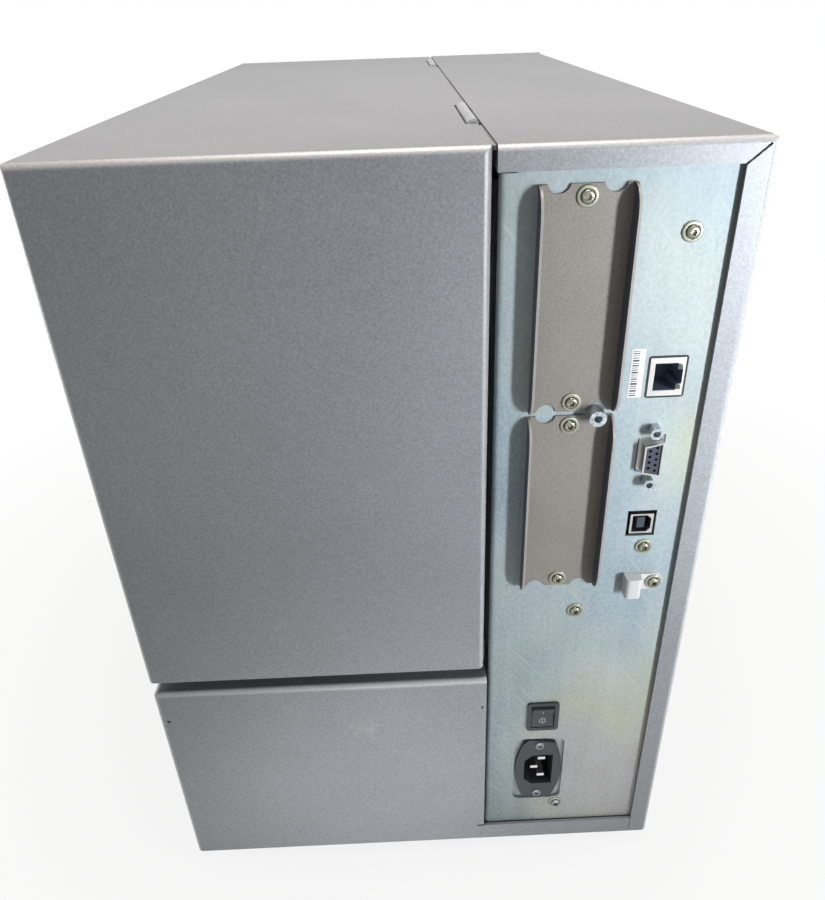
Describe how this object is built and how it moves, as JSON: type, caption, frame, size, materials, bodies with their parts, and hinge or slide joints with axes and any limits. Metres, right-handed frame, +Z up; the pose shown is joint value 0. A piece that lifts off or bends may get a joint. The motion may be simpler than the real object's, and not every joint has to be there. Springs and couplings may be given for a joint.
{
  "type": "industrial label printer",
  "caption": "Free-standing metal label printer with a hinged media lid, a fold-up side door, a swinging print head over a driven platen, ribbon spindles and a rear connector panel.",
  "frame": {"origin": "middle of the footprint, on the surface that the rubber feet stand on", "axes": "+Z up, -Y the front with the display and the label exit, +Y the rear with the connector panel, +X the media bay, -X the electronics bay"},
  "size_m": [0.2682, 0.505, 0.3957],
  "materials": {
    "case_paint": "silver-grey paint with a fine metallic grain",
    "zinc_panel": "bright zinc with a faint passivation tint",
    "slot_plate": "satin stamped steel",
    "yellow_zinc": "yellow passivated zinc",
    "plated_shell": "tin plated sheet",
    "steel": "zinc plated sheet",
    "ground_steel": "ground steel",
    "aluminium": "extruded and milled",
    "brass": "turned brass",
    "black_plastic": "fine moulded texture",
    "dark_plastic": "moulded texture",
    "nylon": "milky nylon",
    "key_plastic": "smooth keys",
    "lever_plastic": "coloured grip",
    "board": "solder mask",
    "motor_black": "black motor enamel",
    "rubber": "matt rubber",
    "window": "clear polycarbonate"
  },
  "bodies": {
    "frame": {"base_tray": "case_paint", "rubber_feet": "rubber", "main_frame": "steel", "electronics_cover": "case_paint", "rear_panel": "zinc_panel", "slot_cover_upper": "slot_plate", "slot_cover_lower": "slot_plate", "panel_screws": "yellow_zinc", "ground_post": "zinc_panel", "network_socket": "plated_shell", "serial_port": "plated_shell", "jack_screws": "zinc_panel", "data_socket": "plated_shell", "cable_clip": "nylon", "switch_housing": "black_plastic", "power_inlet": "black_plastic", "inlet_pins": "brass", "power_supply": "steel", "main_board": "board", "board_standoffs": "brass", "hinge_fixed_leaves": "steel", "front_bezel": "dark_plastic", "display_lens": "window", "display_module": "black_plastic", "panel_board": "board", "host_sockets": "plated_shell", "mech_side_plate": "steel", "media_platform": "aluminium", "tear_bar": "ground_steel", "roller_bearings": "brass", "head_pivot_shaft": "ground_steel", "motor_bracket": "steel", "drive_motor": "motor_black", "drive_belt": "rubber", "ribbon_motors": "motor_black", "media_hanger": "dark_plastic", "guide_rod": "ground_steel"},
    "lid": {"media_cover": "case_paint", "hinge_moving_leaves": "steel", "hinge_pins": "steel"},
    "door": {"window_door": "case_paint", "door_window": "window"},
    "rocker": {"power_rocker": "black_plastic"},
    "pause_button": {"pause_key": "key_plastic"},
    "feed_button": {"feed_key": "key_plastic"},
    "cancel_button": {"cancel_key": "key_plastic"},
    "lever": {"latch_shaft": "ground_steel", "head_lever": "lever_plastic"},
    "head": {"head_carrier": "aluminium", "heat_sink": "aluminium", "print_head": "black_plastic"},
    "platen": {"platen_roller": "rubber", "platen_shaft": "ground_steel"},
    "motor_rotor": {"motor_shaft": "ground_steel"},
    "supply": {"supply_spindle": "dark_plastic"},
    "takeup": {"takeup_spindle": "dark_plastic"},
    "roll_guide": {"media_guide": "nylon"},
    "label_guide": {"edge_guide": "nylon"},
    "dancer": {"dancer_arm": "steel"},
    "dancer_roll": {"dancer_roller": "aluminium"}
  },
  "joints": [
    {"name": "cover_hinge", "type": "hinge", "parent": "frame", "child": "lid", "pos_m": [-0.034, 0, 0.3932], "axis": [0, -1, 0], "range_deg": [0, 95]},
    {"name": "door_fold", "type": "hinge", "parent": "lid", "child": "door", "pos_m": [0.1319, 0, 0.3], "axis": [0, -1, 0], "range_deg": [0, 165]},
    {"name": "rocker_tilt", "type": "hinge", "parent": "frame", "child": "rocker", "pos_m": [-0.0676, 0.242, 0.109], "axis": [1, 0, 0], "range_deg": [0, 12]},
    {"name": "pause_press", "type": "slide", "parent": "frame", "child": "pause_button", "axis": [0, 1, 0], "range_m": [0, 0.0012], "stiffness_N_per_m": 500, "springref_m": -0.0006},
    {"name": "feed_press", "type": "slide", "parent": "frame", "child": "feed_button", "axis": [0, 1, 0], "range_m": [0, 0.0012], "stiffness_N_per_m": 500, "springref_m": -0.0006},
    {"name": "cancel_press", "type": "slide", "parent": "frame", "child": "cancel_button", "axis": [0, 1, 0], "range_m": [0, 0.0012], "stiffness_N_per_m": 500, "springref_m": -0.0006},
    {"name": "head_lever_turn", "type": "hinge", "parent": "frame", "child": "lever", "pos_m": [0, -0.175, 0.23191], "axis": [-1, 0, 0], "range_deg": [0, 90]},
    {"name": "head_open", "type": "hinge", "parent": "frame", "child": "head", "pos_m": [0, -0.135, 0.222], "axis": [-1, 0, 0], "range_deg": [0, 12.1]},
    {"name": "platen_spin", "type": "hinge", "parent": "frame", "child": "platen", "pos_m": [0, -0.222, 0.176], "axis": [1, 0, 0], "continuous": true},
    {"name": "motor_spin", "type": "hinge", "parent": "frame", "child": "motor_rotor", "pos_m": [-0.075, -0.16, 0.114], "axis": [1, 0, 0], "continuous": true},
    {"name": "supply_spin", "type": "hinge", "parent": "frame", "child": "supply", "pos_m": [0, -0.035, 0.3182], "axis": [1, 0, 0], "continuous": true},
    {"name": "takeup_spin", "type": "hinge", "parent": "frame", "child": "takeup", "pos_m": [0, -0.15, 0.3182], "axis": [1, 0, 0], "continuous": true},
    {"name": "roll_guide_slide", "type": "slide", "parent": "frame", "child": "roll_guide", "axis": [1, 0, 0], "range_m": [-0.06, 0.012]},
    {"name": "label_guide_slide", "type": "slide", "parent": "frame", "child": "label_guide", "axis": [1, 0, 0], "range_m": [-0.03, 0.03]},
    {"name": "dancer_swing", "type": "hinge", "parent": "frame", "child": "dancer", "pos_m": [0, 0, 0.12], "axis": [-1, 0, 0], "range_deg": [0, 25]},
    {"name": "dancer_roll_spin", "type": "hinge", "parent": "dancer", "child": "dancer_roll", "pos_m": [0, -0.04749, 0.14968], "axis": [1, 0, 0], "continuous": true}
  ],
  "couplings": [
    {"joint": "head_open", "follows": "head_lever_turn", "ratio": 0.13333},
    {"joint": "motor_spin", "follows": "platen_spin", "ratio": 2}
  ]
}
